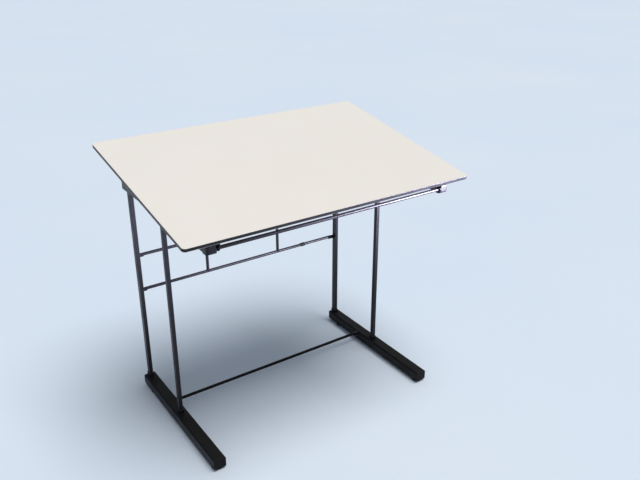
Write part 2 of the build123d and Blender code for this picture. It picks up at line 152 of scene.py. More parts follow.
print("edges that turn by more than 32 degrees will be softened")

# %% [markdown]
# ## Effects that several finishes share
# Paint, plastic, laminate and plating differ in colour and gloss, but they share a few
# effects: a fine surface texture, broad uneven patches, dust that has settled on upward
# faces, small scuffs, and wear on the edges. Each effect is a node group that is built once
# and placed in a material with that material's own values.

# %% A helper that starts a node group
def start_group(name, inputs, outputs):
    group = bpy.data.node_groups.new(name, "ShaderNodeTree")
    for label, kind, value in inputs:
        socket = group.interface.new_socket(label, in_out="INPUT", socket_type=kind)
        if value is not None:
            socket.default_value = value
    for label in outputs:
        group.interface.new_socket(label, in_out="OUTPUT", socket_type="NodeSocketFloat")
    source = group.nodes.new("NodeGroupInput")
    sink = group.nodes.new("NodeGroupOutput")
    return group, source, sink


def add_node(tree, kind, settings=None, values=None):
    """A node with its settings and its unlinked input values."""
    node = tree.nodes.new(kind)
    for key, value in (settings or {}).items():
        setattr(node, key, value)
    for key, value in (values or {}).items():
        node.inputs[key].default_value = value
    return node


FLOAT, VECTOR = "NodeSocketFloat", "NodeSocketVector"
print("node groups can now be started")

# %% Fine texture: the small even relief of paint and moulded plastic
def make_fine_texture():
    group, source, sink = start_group(
        "fine_texture",
        [("Vector", VECTOR, None), ("Scale", FLOAT, 400.0), ("Grit", FLOAT, 0.5)],
        ["Height"],
    )
    noise = add_node(group, "ShaderNodeTexNoise", values={"Detail": 3.0})
    group.links.new(source.outputs["Vector"], noise.inputs["Vector"])
    group.links.new(source.outputs["Scale"], noise.inputs["Scale"])
    group.links.new(source.outputs["Grit"], noise.inputs["Roughness"])
    group.links.new(noise.outputs["Fac"], sink.inputs["Height"])
    return group


fine_texture = make_fine_texture()
print("made", fine_texture.name)

# %% Broad patches: slow changes of tone and gloss over a surface
def make_broad_patches():
    group, source, sink = start_group(
        "broad_patches",
        [
            ("Vector", VECTOR, None),
            ("Scale", FLOAT, 6.0),
            ("Low", FLOAT, 0.0),
            ("High", FLOAT, 1.0),
        ],
        ["Value"],
    )
    noise = add_node(group, "ShaderNodeTexNoise", values={"Detail": 4.0, "Roughness": 0.55})
    spread = add_node(group, "ShaderNodeMapRange", values={"From Min": 0.32, "From Max": 0.68})
    group.links.new(source.outputs["Vector"], noise.inputs["Vector"])
    group.links.new(source.outputs["Scale"], noise.inputs["Scale"])
    group.links.new(noise.outputs["Fac"], spread.inputs["Value"])
    group.links.new(source.outputs["Low"], spread.inputs["To Min"])
    group.links.new(source.outputs["High"], spread.inputs["To Max"])
    group.links.new(spread.outputs["Result"], sink.inputs["Value"])
    return group


broad_patches = make_broad_patches()
print("made", broad_patches.name)

# %% Settled dust: a thin veil on faces that look up
def make_settled_dust():
    group, source, sink = start_group(
        "settled_dust",
        [("Vector", VECTOR, None), ("Amount", FLOAT, 0.3), ("Scale", FLOAT, 30.0)],
        ["Mask"],
    )
    geometry = group.nodes.new("ShaderNodeNewGeometry")
    split = group.nodes.new("ShaderNodeSeparateXYZ")
    upward = add_node(group, "ShaderNodeMapRange", values={"From Min": 0.55, "From Max": 1.0})
    noise = add_node(group, "ShaderNodeTexNoise", values={"Detail": 6.0, "Roughness": 0.65})
    cover = add_node(group, "ShaderNodeMath", {"operation": "MULTIPLY"})
    amount = add_node(group, "ShaderNodeMath", {"operation": "MULTIPLY"})
    group.links.new(geometry.outputs["Normal"], split.inputs["Vector"])
    group.links.new(split.outputs["Z"], upward.inputs["Value"])
    group.links.new(source.outputs["Vector"], noise.inputs["Vector"])
    group.links.new(source.outputs["Scale"], noise.inputs["Scale"])
    group.links.new(upward.outputs["Result"], cover.inputs[0])
    group.links.new(noise.outputs["Fac"], cover.inputs[1])
    group.links.new(cover.outputs["Value"], amount.inputs[0])
    group.links.new(source.outputs["Amount"], amount.inputs[1])
    group.links.new(amount.outputs["Value"], sink.inputs["Mask"])
    return group


settled_dust = make_settled_dust()
print("made", settled_dust.name)

# %% Scuffs: short rubbed streaks, longer one way than the other
def make_scuffs():
    group, source, sink = start_group(
        "scuffs",
        [
            ("Vector", VECTOR, None),
            ("Stretch", VECTOR, (1.0, 1.0, 1.0)),
            ("Scale", FLOAT, 60.0),
            ("Rarity", FLOAT, 0.66),
        ],
        ["Mask"],
    )
    stretched = add_node(group, "ShaderNodeVectorMath", {"operation": "MULTIPLY"})
    noise = add_node(
        group, "ShaderNodeTexNoise", values={"Detail": 5.0, "Roughness": 0.6, "Distortion": 0.4}
    )
    ceiling = add_node(group, "ShaderNodeMath", {"operation": "ADD"}, {1: 0.10})
    cut = add_node(group, "ShaderNodeMapRange")
    group.links.new(source.outputs["Vector"], stretched.inputs[0])
    group.links.new(source.outputs["Stretch"], stretched.inputs[1])
    group.links.new(stretched.outputs["Vector"], noise.inputs["Vector"])
    group.links.new(source.outputs["Scale"], noise.inputs["Scale"])
    group.links.new(noise.outputs["Fac"], cut.inputs["Value"])
    group.links.new(source.outputs["Rarity"], cut.inputs["From Min"])
    group.links.new(source.outputs["Rarity"], ceiling.inputs[0])
    group.links.new(ceiling.outputs["Value"], cut.inputs["From Max"])
    group.links.new(cut.outputs["Result"], sink.inputs["Mask"])
    return group


scuffs = make_scuffs()
print("made", scuffs.name)

# %% Edge rub: the bevelled faces, broken up so that wear comes and goes
def make_edge_rub():
    group, source, sink = start_group(
        "edge_rub",
        [("Vector", VECTOR, None), ("Scale", FLOAT, 25.0), ("Amount", FLOAT, 0.5)],
        ["Mask"],
    )
    marked = add_node(group, "ShaderNodeAttribute", {"attribute_name": "edge_rub"})
    noise = add_node(group, "ShaderNodeTexNoise", values={"Detail": 5.0, "Roughness": 0.7})
    patch = add_node(group, "ShaderNodeMapRange", values={"From Min": 0.46, "From Max": 0.62})
    on_edge = add_node(group, "ShaderNodeMath", {"operation": "MULTIPLY"})
    amount = add_node(group, "ShaderNodeMath", {"operation": "MULTIPLY"})
    group.links.new(source.outputs["Vector"], noise.inputs["Vector"])
    group.links.new(source.outputs["Scale"], noise.inputs["Scale"])
    group.links.new(noise.outputs["Fac"], patch.inputs["Value"])
    group.links.new(marked.outputs["Fac"], on_edge.inputs[0])
    group.links.new(patch.outputs["Result"], on_edge.inputs[1])
    group.links.new(on_edge.outputs["Value"], amount.inputs[0])
    group.links.new(source.outputs["Amount"], amount.inputs[1])
    group.links.new(amount.outputs["Value"], sink.inputs["Mask"])
    return group


edge_rub = make_edge_rub()
print("made", edge_rub.name)

# %% [markdown]
# ## Building a finish
# A finish starts from one Principled shader. A small set of helpers then places the shared
# groups, mixes colours by a mask and turns a height into a bump. All patterns read Object
# coordinates, because every piece's place is in its mesh and so the pattern never slides.

# %% Helpers for one material
def srgb(red, green, blue):
    """A colour chosen on a screen, turned into light values."""
    def light(value):
        share = value / 255
        return share / 12.92 if share <= 0.04045 else ((share + 0.055) / 1.055) ** 2.4
    return (light(red), light(green), light(blue), 1.0)


def start_material(
    name, colour, roughness, metallic=0.0, coat=0.0, coat_roughness=0.1, specular=0.5
):
    material = bpy.data.materials.new(name)
    material.use_nodes = True
    tree = material.node_tree
    shader = tree.nodes["Principled BSDF"]
    shader.inputs["Base Color"].default_value = colour
    shader.inputs["Roughness"].default_value = roughness
    shader.inputs["Metallic"].default_value = metallic
    shader.inputs["Coat Weight"].default_value = coat
    shader.inputs["Coat Roughness"].default_value = coat_roughness
    shader.inputs["Specular IOR Level"].default_value = specular
    place = tree.nodes.new("ShaderNodeTexCoord").outputs["Object"]
    return material, tree, shader, place


def place_group(tree, group, place, values=None):
    node = tree.nodes.new("ShaderNodeGroup")
    node.node_tree = group
    tree.links.new(place, node.inputs["Vector"])
    for key, value in (values or {}).items():
        node.inputs[key].default_value = value
    return node.outputs[0]


# A Mix node keeps a socket for every data type, so those of one type have fixed numbers.
mix_sockets = {"FLOAT": (2, 3, 0), "RGBA": (6, 7, 2)}


def mix_by_mask(tree, data_type, mask, below, above):
    first, second, result = mix_sockets[data_type]
    mix = add_node(tree, "ShaderNodeMix", {"data_type": data_type})
    tree.links.new(mask, mix.inputs[0])
    for index, given in ((first, below), (second, above)):
        if isinstance(given, (tuple, float)):
            mix.inputs[index].default_value = given
        else:
            tree.links.new(given, mix.inputs[index])
    return mix.outputs[result]


def mix_colours(tree, mask, below, above):
    """The colour above shows where the mask is 1. Each colour is a value or a socket."""
    return mix_by_mask(tree, "RGBA", mask, below, above)


def mix_values(tree, mask, below, above):
    """The value above shows where the mask is 1. Each one is a number or a socket."""
    return mix_by_mask(tree, "FLOAT", mask, below, above)


def add_bump(tree, shader, height, strength, depth_mm):
    bump = add_node(
        tree, "ShaderNodeBump", values={"Strength": strength, "Distance": depth_mm * mm}
    )
    tree.links.new(height, bump.inputs["Height"])
    tree.links.new(bump.outputs["Normal"], shader.inputs["Normal"])


print("a mid grey on screen is", round(srgb(128, 128, 128)[0], 3), "in light")

# %% [markdown]
# ## Satin powder coat
# The legs, arms, bars and brace are steel with a baked powder coat: a very dark charcoal
# with a violet cast, half glossy, with the faint orange-peel relief that powder leaves when
# it flows. The feet and the low rod have a black one. Where edges are touched the coat is
# thinner and shows a lighter grey. A little dust lies on the upper faces and dulls them.

# %% Charcoal and black powder coat for the steel
def make_powder_coat(name, colour, worn, roughness, specular, coat):
    material, tree, shader, place = start_material(
        name, colour, roughness, specular=specular, coat=coat, coat_roughness=0.22
    )
    tone = place_group(tree, broad_patches, place, {"Scale": 5.0})
    lighter = tuple(channel * 1.5 for channel in colour[:3]) + (1.0,)
    painted = mix_colours(tree, tone, colour, lighter)
    rubbed = place_group(tree, edge_rub, place, {"Scale": 22.0, "Amount": 0.55})
    touched = mix_colours(tree, rubbed, painted, worn)
    dust = place_group(tree, settled_dust, place, {"Amount": 0.04, "Scale": 45.0})
    tree.links.new(
        mix_colours(tree, dust, touched, srgb(140, 137, 132)), shader.inputs["Base Color"]
    )
    uneven = {"Scale": 14.0, "Low": roughness - 0.07, "High": roughness + 0.12}
    gloss = place_group(tree, broad_patches, place, uneven)
    tree.links.new(mix_values(tree, dust, gloss, 0.85), shader.inputs["Roughness"])
    peel = place_group(tree, fine_texture, place, {"Scale": 420.0, "Grit": 0.35})
    add_bump(tree, shader, peel, 0.5, 0.16)
    return material


powder_coat = make_powder_coat(
    "charcoal_powder_coat", srgb(24, 23, 29), srgb(92, 90, 98),
    roughness=0.36, specular=0.20, coat=0.06,
)
black_coat = make_powder_coat(
    "black_powder_coat", srgb(5, 5, 6), srgb(40, 40, 43),
    roughness=0.42, specular=0.15, coat=0.0,
)
print("made", powder_coat.name, "and", black_coat.name)

# %% [markdown]
# ## Laminate and edge band
# The working face is a decorative laminate in warm white, pressed against a fine matt
# plate, so it has a close dry grain and no gloss. Use leaves very faint grey rubs and a
# soft darkening where hands and paper slide. The rim is a dark plastic band whose glued
# edge is slightly rounded.

# %% Warm white laminate, its backing sheet and the dark band
def make_white_laminate():
    white = srgb(233, 228, 221)
    material, tree, shader, place = start_material(
        "warm_white_laminate", white, 0.48, specular=0.4
    )
    tone = place_group(tree, broad_patches, place, {"Scale": 3.0})
    sheet = mix_colours(tree, tone, white, srgb(230, 225, 217))
    speck = place_group(tree, fine_texture, place, {"Scale": 900.0, "Grit": 0.7})
    grained = mix_colours(tree, speck, sheet, srgb(236, 231, 225))
    streaks = place_group(
        tree, scuffs, place, {"Stretch": (0.25, 1.0, 1.0), "Scale": 55.0, "Rarity": 0.69}
    )
    faint = add_node(tree, "ShaderNodeMath", {"operation": "MULTIPLY"}, {1: 0.10})
    tree.links.new(streaks, faint.inputs[0])
    rubbed = mix_colours(tree, faint.outputs["Value"], grained, srgb(170, 168, 166))
    tree.links.new(rubbed, shader.inputs["Base Color"])
    gloss = place_group(tree, broad_patches, place, {"Scale": 8.0, "Low": 0.44, "High": 0.54})
    tree.links.new(mix_values(tree, streaks, gloss, 0.34), shader.inputs["Roughness"])
    add_bump(tree, shader, speck, 0.25, 0.05)
    return material


def make_backing_laminate():
    grey = srgb(196, 192, 186)
    material, tree, shader, place = start_material("backing_laminate", grey, 0.7, specular=0.3)
    tone = place_group(tree, broad_patches, place, {"Scale": 9.0})
    tree.links.new(
        mix_colours(tree, tone, grey, srgb(184, 180, 173)), shader.inputs["Base Color"]
    )
    rough = place_group(tree, broad_patches, place, {"Scale": 20.0, "Low": 0.62, "High": 0.80})
    tree.links.new(rough, shader.inputs["Roughness"])
    fibre = place_group(tree, fine_texture, place, {"Scale": 600.0, "Grit": 0.8})
    add_bump(tree, shader, fibre, 0.4, 0.08)
    return material


def make_edge_band():
    dark = srgb(26, 26, 31)
    material, tree, shader, place = start_material(
        "dark_edge_band", dark, 0.3, coat=0.05, specular=0.2
    )
    rubbed = place_group(tree, edge_rub, place, {"Scale": 12.0, "Amount": 0.6})
    tree.links.new(
        mix_colours(tree, rubbed, dark, srgb(70, 70, 78)), shader.inputs["Base Color"]
    )
    gloss = place_group(tree, broad_patches, place, {"Scale": 25.0, "Low": 0.26, "High": 0.40})
    tree.links.new(gloss, shader.inputs["Roughness"])
    ripple = place_group(tree, fine_texture, place, {"Scale": 260.0, "Grit": 0.3})
    add_bump(tree, shader, ripple, 0.3, 0.08)
    return material


white_laminate = make_white_laminate()
backing_laminate = make_backing_laminate()
edge_band = make_edge_band()
print("made", white_laminate.name, backing_laminate.name, edge_band.name)

# %% [markdown]
# ## Board and battens
# The core is particle board: pressed chips of many tones. The battens are planed beech with
# a thin lacquer. Beech has a fine straight grain, so its noise is stretched hard along the
# batten, with short darker flecks laid over it.

# %% Particle board and lacquered beech
def make_particle_board():
    chip = srgb(190, 158, 116)
    material, tree, shader, place = start_material("particle_board", chip, 0.85, specular=0.2)
    cells = add_node(tree, "ShaderNodeTexVoronoi", values={"Scale": 320.0, "Randomness": 1.0})
    tree.links.new(place, cells.inputs["Vector"])
    tone = tree.nodes.new("ShaderNodeSeparateColor")
    tree.links.new(cells.outputs["Color"], tone.inputs["Color"])
    mixed = mix_colours(tree, tone.outputs["Red"], srgb(204, 176, 134), srgb(150, 116, 78))
    tree.links.new(mixed, shader.inputs["Base Color"])
    rough = place_group(tree, broad_patches, place, {"Scale": 60.0, "Low": 0.78, "High": 0.92})
    tree.links.new(rough, shader.inputs["Roughness"])
    add_bump(tree, shader, cells.outputs["Distance"], 0.6, 0.2)
    return material


def make_beech():
    pale = srgb(206, 166, 122)
    material, tree, shader, place = start_material("lacquered_beech", pale, 0.42, coat=0.25)
    along = add_node(tree, "ShaderNodeMapping", values={"Scale": (0.06, 1.0, 1.0)})
    tree.links.new(place, along.inputs["Vector"])
    grain = place_group(
        tree, fine_texture, along.outputs["Vector"], {"Scale": 340.0, "Grit": 0.6}
    )
    spread = add_node(tree, "ShaderNodeMapRange", values={"From Min": 0.35, "From Max": 0.65})
    tree.links.new(grain, spread.inputs["Value"])
    planed = mix_colours(tree, spread.outputs["Result"], pale, srgb(176, 132, 88))
    flecks = place_group(
        tree, scuffs, place, {"Stretch": (0.12, 1.0, 1.0), "Scale": 700.0, "Rarity": 0.6}
    )
    tree.links.new(
        mix_colours(tree, flecks, planed, srgb(132, 90, 56)), shader.inputs["Base Color"]
    )
    gloss = place_group(tree, broad_patches, place, {"Scale": 18.0, "Low": 0.36, "High": 0.50})
    tree.links.new(gloss, shader.inputs["Roughness"])
    add_bump(tree, shader, grain, 0.35, 0.08)
    return material


particle_board = make_particle_board()
beech = make_beech()
print("made", particle_board.name, "and", beech.name)

# %% [markdown]
# ## Moulded plastics and rubber
# End caps, the sleeve and the glides are injection moulded with a fine spark texture. The
# knobs are a harder, glossier phenolic. The bumpers are matt rubber, which goes grey where
# it is rubbed, and the hinge bushes are black nylon, which is waxy and polishes in use.

# %% Caps, knobs, bumpers and bushes
def make_moulded(name, colour, worn, roughness, grit_mm, coat=0.0, specular=0.4):
    material, tree, shader, place = start_material(
        name, colour, roughness, coat=coat, specular=specular
    )
    rubbed = place_group(tree, edge_rub, place, {"Scale": 40.0, "Amount": 0.45})
    dust = place_group(tree, settled_dust, place, {"Amount": 0.05, "Scale": 70.0})
    touched = mix_colours(tree, rubbed, colour, worn)
    tree.links.new(
        mix_colours(tree, dust, touched, srgb(160, 157, 152)), shader.inputs["Base Color"]
    )
    uneven = {"Scale": 40.0, "Low": roughness - 0.05, "High": roughness + 0.08}
    gloss = place_group(tree, broad_patches, place, uneven)
    tree.links.new(mix_values(tree, dust, gloss, 0.9), shader.inputs["Roughness"])
    spark_scale = 1.0 / (grit_mm * mm)
    spark = place_group(tree, fine_texture, place, {"Scale": spark_scale, "Grit": 0.7})
    add_bump(tree, shader, spark, 0.4, 0.08)
    return material


# The last two plain numbers are the roughness and the size of the texture's grit in mm.
cap_plastic = make_moulded(
    "moulded_cap_plastic", srgb(7, 7, 8), srgb(36, 36, 39), 0.45, 1.0, specular=0.15
)
glide_plastic = make_moulded(
    "glide_plastic", srgb(14, 14, 15), srgb(60, 60, 62), 0.52, 1.2, specular=0.25
)
phenolic = make_moulded("knob_phenolic", srgb(17, 17, 19), srgb(60, 60, 62), 0.22, 2.5, coat=0.5)
rubber = make_moulded("bumper_rubber", srgb(30, 30, 31), srgb(82, 82, 82), 0.78, 0.9)
nylon = make_moulded("bush_nylon", srgb(24, 24, 26), srgb(64, 64, 67), 0.42, 1.6)
print("made", cap_plastic.name, glide_plastic.name, phenolic.name, rubber.name, nylon.name)

# %% [markdown]
# ## Plated and blackened steel
# The studs, washers and screws are zinc plated, a cool bright grey with cloudy passivation
# and fine turning marks. The nuts and rings near the frame are chemically blackened, so
# they stay dark but keep a metal's tinted reflection.

# %% Zinc plate and blackened steel
def make_plated(name, colour, cloud, roughness):
    material, tree, shader, place = start_material(name, colour, roughness, metallic=1.0)
    clouds = place_group(tree, broad_patches, place, {"Scale": 90.0})
    marks = place_group(
        tree, scuffs, place, {"Stretch": (6.0, 1.0, 1.0), "Scale": 260.0, "Rarity": 0.58}
    )
    toned = mix_colours(tree, clouds, colour, cloud)
    tree.links.new(mix_colours(tree, marks, toned, colour), shader.inputs["Base Color"])
    uneven = {"Scale": 140.0, "Low": roughness - 0.06, "High": roughness + 0.10}
    gloss = place_group(tree, broad_patches, place, uneven)
    tree.links.new(gloss, shader.inputs["Roughness"])
    turned = place_group(tree, fine_texture, place, {"Scale": 1400.0, "Grit": 0.5})
    add_bump(tree, shader, turned, 0.3, 0.04)
    return material


zinc = make_plated("zinc_plate", srgb(190, 193, 198), srgb(168, 172, 180), 0.30)
blackened = make_plated("blackened_steel", srgb(62, 62, 66), srgb(48, 48, 53), 0.36)
print("made", zinc.name, "and", blackened.name)

# %% [markdown]
# ## Dressing the parts
# Each part gets a softened copy with the bevel that its making leaves, and its finish. Rolled
# steel tube has the largest radius, cut bar a small one, and thin laminate almost none. A few
# parts that are sealed inside others keep their own mesh and only get a finish.

# %% Which finish each part has and how round its edges are
def dress(piece, material):
    piece.data.materials.clear()
    piece.data.materials.append(material)


def sides(*names):
    return [name + side for name in names for side in ("_left", "_right")]


# Each row holds a finish, the width of the bevel in mm and the parts it goes on.
finishes = [
    (powder_coat, 0.7, sides("side_arm", "pivot_block", "front_leg", "rear_leg")),
    (powder_coat, 0.4, sides("top_bearer", "tilt_prop", "track_upper_bar", "track_lower_bar")),
    (powder_coat, 0.5, ["front_cross_bar", "track_end_blocks"]),
    (powder_coat, 0.5, ["brace_upper_rod", "brace_lower_rod"]),
    (powder_coat, 0.2, sides("brace_upright") + ["leg_collars"]),
    (black_coat, 0.8, sides("foot_beam") + ["foot_stretcher_rod"]),
    (cap_plastic, 0.9, ["foot_caps_front", "foot_caps_rear", "arm_caps"]),
    (cap_plastic, 0.6, ["brace_sleeve"]),
    (glide_plastic, 0.5, sides("levelling_glide_front", "levelling_glide_rear")),
    (phenolic, 0.4, sides("clamp_knob")),
    (rubber, 0.5, ["rest_bumpers"]),
    (nylon, 0.15, ["hinge_bushes"]),
    (blackened, 0.4, ["stretcher_nuts", "bar_retaining_rings"]),
    (zinc, 0.3, sides("clamp_stud", "clamp_washer", "prop_pivot_stud") + ["prop_pivot_nuts"]),
    (white_laminate, 0.3, ["top_face_laminate"]),
    (backing_laminate, 0.2, ["top_back_laminate"]),
    (edge_band, 0.5, ["top_edge_band"]),
    (beech, 1.2, ["front_batten", "rear_batten"]),
]
soft = {}
for finish, width, parts in finishes:
    for part in parts:
        soft[part] = softened(part, width)
        dress(soft[part], finish)
print("softened", len(soft), "parts")

# %% Parts that are sealed inside others
dress(frame["nodes"]["top_core"], particle_board)
dress(frame["nodes"]["leg_plugs"], blackened)
dress(frame["nodes"]["glide_inserts"], zinc)
print("finished the core, the leg plugs and the glide inserts")

# %% [markdown]
# ## Screws with hexagon sockets
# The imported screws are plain. A real button-head screw has a low domed head with a
# hexagon socket for a key. The dome is a circle that is extruded and drawn in, ring by
# ring, along a quarter of an ellipse. The socket starts as a six-sided ring that is bridged
# to the dome's round one, then goes down as a straight-sided pit. Each screw's place is
# read from the part it replaces, by splitting that part into its separate solids.

# %% Find each solid's ends along a direction
def solids_of(part):
    """Lists of corner points, one for each separate solid of a part."""
    bm = joined_copy(part)
    left = set(bm.verts)
    groups = []
    while left:
        reached = [left.pop()]
        for vert in reached:
            for edge in vert.link_edges:
                other = edge.other_vert(vert)
                if other in left:
                    left.discard(other)
                    reached.append(other)
        groups.append([vert.co.copy() for vert in reached])
    bm.free()
    return groups


def ends_along(points, direction):
    """The middle of a solid's low end along a direction, and the same point at its high end."""
    reach = [point.dot(direction) for point in points]
    low, high = min(reach), max(reach)
    end_band = 0.05 * mm
    near = [point for point, value in zip(points, reach) if value < low + end_band]
    foot = sum(near, Vector()) / len(near)
    return foot, foot + direction * (high - low)


print("solids in the brace screws:", len(solids_of("brace_screws")))

# %% One socket screw, pointing along +Z with the top of its head at the origin
round_sides = 24
dome_steps = 5


def ring_of(bm, radius, height, segments):
    made = bmesh.ops.create_circle(bm, cap_ends=False, radius=radius, segments=segments)
    bmesh.ops.translate(bm, verts=made["verts"], vec=(0, 0, height))
    return list({edge for vert in made["verts"] for edge in vert.link_edges})


def socket_screw(head_radius, head_height, shank_radius, length):
    bm = bmesh.new()
    socket_radius = head_radius * 0.42
    socket_depth = head_height * 0.55
    rim_radius = socket_radius * 1.22
    dome_height = head_height * 0.72
    rings = [
        ring_of(bm, socket_radius, socket_depth, 6),
        ring_of(bm, socket_radius, 0.0, 6),
        ring_of(bm, rim_radius, 0.0, round_sides),
    ]
    for step in range(1, dome_steps + 1):
        turn = step / dome_steps * pi / 2
        spread = rim_radius + (head_radius - rim_radius) * sin(turn)
        rings.append(ring_of(bm, spread, dome_height * (1 - cos(turn)), round_sides))
    rings.append(ring_of(bm, head_radius, head_height, round_sides))
    rings.append(ring_of(bm, shank_radius, head_height, round_sides))
    rings.append(ring_of(bm, shank_radius, length - shank_radius, round_sides))
    rings.append(ring_of(bm, shank_radius * 0.2, length, round_sides))
    for first, second in zip(rings, rings[1:]):
        bmesh.ops.bridge_loops(bm, edges=first + second)
    bmesh.ops.holes_fill(bm, edges=rings[0] + rings[-1], sides=0)
    bmesh.ops.recalc_face_normals(bm, faces=bm.faces)
    return bm


def screws_for(part, direction, head_radius, head_height, shank_radius, material):
    """One piece with a socket screw for each solid of the part. Screws point along direction."""
    joined = bmesh.new()
    turn = Vector((0, 0, 1)).rotation_difference(direction).to_matrix().to_4x4()
    for points in solids_of(part):
        head, tip = ends_along(points, direction)
        bm = socket_screw(head_radius, head_height, shank_radius, (tip - head).length)
        bmesh.ops.transform(bm, matrix=Matrix.Translation(head) @ turn, verts=bm.verts)
        mesh = bpy.data.meshes.new("one_screw")
        bm.to_mesh(mesh)
        bm.free()
        joined.from_mesh(mesh)
        bpy.data.meshes.remove(mesh)
    piece = finished_piece("socket_" + part, joined, body_of_part[part])
    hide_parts(part)
    dress(piece, material)
    return piece


# Each call gives the head's radius and height, then the shank's radius.
forward = Vector((0, -1, 0))
upward = Vector((0, 0, 1))
screws = [
    screws_for("bearer_screws", top_normal, 4.0 * mm, 2.0 * mm, 2.0 * mm, zinc),
    screws_for("batten_screws", top_normal, 4.0 * mm, 2.0 * mm, 2.0 * mm, zinc),
    screws_for("brace_screws", forward, 4.25 * mm, 2.5 * mm, 2.0 * mm, blackened),
    screws_for("leg_bolts", upward, 6.0 * mm, 3.0 * mm, 3.0 * mm, blackened),
]
print("made", len(screws), "sets of screws")

# %% [markdown]
# ## Weld beads
# The legs are welded up to the arms, and the brace's uprights are welded between its rods.
# A bead is a rounded rope of metal with even ripples, one for each dip of the rod. It is
# made as a closed curve with a round section whose size swells and shrinks along the way,
# and is then turned into a mesh and painted like the steel.

# %% A helper that lays a bead along a closed path
ripple_share = 0.16  # how much the bead swells and shrinks
ripple_points = 4  # points of the path for one ripple


def bead_along(name, points, radius, body):
    curve = bpy.data.curves.new(name, "CURVE")
    curve.dimensions = "3D"
    curve.bevel_depth = radius
    curve.bevel_resolution = 3
    spline = curve.splines.new("POLY")
    spline.points.add(len(points) - 1)
    for index, (point, place) in enumerate(zip(spline.points, points)):
        point.co = (*place, 1.0)
        point.radius = 1.0 + ripple_share * sin(index * 2 * pi / ripple_points)
    spline.use_cyclic_u = True
    holder = bpy.data.objects.new(name + "_path", curve)
    bpy.context.scene.collection.objects.link(holder)
    bpy.context.view_layer.update()
    mesh = bpy.data.meshes.new_from_object(holder)
    bpy.data.objects.remove(holder)
    mesh.name = name
    mesh.shade_smooth()
    piece = bpy.data.objects.new(name, mesh)
    bpy.context.scene.collection.objects.link(piece)
    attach(piece, body)
    dress(piece, powder_coat)
    return piece


def rounded_path(low, high, height, corner, step):
    """Points round an upright rectangular tube at one height."""
    middle = (low + high) / 2
    half = (high - low) / 2
    points = []
    for quarter in range(4):
        sign_x = 1 if quarter in (0, 3) else -1
        sign_y = 1 if quarter in (0, 1) else -1
        reach_x, reach_y = sign_x * (half.x - corner), sign_y * (half.y - corner)
        centre = Vector((middle.x + reach_x, middle.y + reach_y, height))
        for part in range(4):
            turn = (quarter + part / 3) * pi / 2
            points.append(centre + corner * Vector((cos(turn), sin(turn), 0)))
    dense = []
    for first, second in zip(points, points[1:] + points[:1]):
        count = max(1, round((second - first).length / step))
        dense += [first.lerp(second, share / count) for share in range(count)]
    return dense


print("beads follow closed paths")

# %% Beads where the legs meet the arms
leg_bead_radius = 1.3 * mm
leg_corner = 1.4 * mm
below_arm = 0.3 * mm
point_spacing = 1.0 * mm
leg_beads = []
for side in ("left", "right"):
    arm_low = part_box("side_arm_" + side)[0]
    for leg in ("front", "rear"):
        low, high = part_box(leg + "_leg_" + side)
        path = rounded_path(low, high, arm_low.z - below_arm, leg_corner, point_spacing)
        leg_beads.append(bead_along(f"weld_{leg}_leg_{side}", path, leg_bead_radius, "frame"))
print("laid", len(leg_beads), "beads round the legs")

# %% Beads where the uprights meet the brace rods
saddle_points = 40
upright_bead_radius = 0.9 * mm


def saddle_path(centre, radius, direction):
    """The line where an upright meets a level rod of the same size."""
    points = []
    for step in range(saddle_points):
        turn = step / saddle_points * 2 * pi
        rise = sqrt(max(radius**2 - (radius * sin(turn)) ** 2, (0.3 * radius) ** 2))
        across = Vector((radius * cos(turn), radius * sin(turn), direction * rise))
        points.append(centre + across)
    return points


upright_beads = []
for side in ("left", "right"):
    low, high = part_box("brace_upright_" + side)
    middle = (low + high) / 2
    for rod, direction in (("lower", 1), ("upper", -1)):
        rod_low, rod_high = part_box("brace_" + rod + "_rod")
        rod_centre = Vector((middle.x, middle.y, (rod_low.z + rod_high.z) / 2))
        path = saddle_path(rod_centre, (high.x - low.x) / 2, direction)
        name = f"weld_upright_{rod}_{side}"
        upright_beads.append(bead_along(name, path, upright_bead_radius, "frame"))
print("laid", len(upright_beads), "beads on the brace")

# %% [markdown]
# ## Caps on the knobs
# A phenolic knob is moulded over a threaded insert, and its open side is closed by a small
# press-in cap. The cap is a low dome, so one short profile is spun round the knob's axis.

# %% Spin the knob caps
def spun(points, centre, axis, segments):
    """A closed round piece from a profile of (distance from the axis, distance along it)."""
    bm = bmesh.new()
    verts = [bm.verts.new((radius, 0, along)) for radius, along in points]
    edges = [bm.edges.new(pair) for pair in zip(verts, verts[1:])]
    bmesh.ops.spin(
        bm, geom=verts + edges, cent=(0, 0, 0), axis=(0, 0, 1), angle=2 * pi, steps=segments,
        use_merge=True,
    )
    bmesh.ops.remove_doubles(bm, verts=bm.verts, dist=0.001 * mm)
    turn = Vector((0, 0, 1)).rotation_difference(axis).to_matrix().to_4x4()
    bmesh.ops.transform(bm, matrix=Matrix.Translation(centre) @ turn, verts=bm.verts)
    bmesh.ops.recalc_face_normals(bm, faces=bm.faces)
    return bm


# The cap's low dome and its flat back, from the middle of the face outwards and back.
cap_profile = [
    (0.0, 0.75 * mm), (1.6 * mm, 0.7 * mm), (3.0 * mm, 0.5 * mm), (3.9 * mm, 0.2 * mm),
    (4.2 * mm, -0.1 * mm), (4.2 * mm, -0.4 * mm), (0.0, -0.4 * mm),
]
for side, sign in (("left", 1), ("right", -1)):
    low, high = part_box("clamp_knob_" + side)
    face = high.x if sign > 0 else low.x
    centre = Vector((face, (low.y + high.y) / 2, (low.z + high.z) / 2))
    cap = finished_piece(
        "knob_cap_" + side,
        spun(cap_profile, centre, Vector((sign, 0, 0)), 32),
        "knob_" + side,
    )
    dress(cap, cap_plastic)
print("made two knob caps")

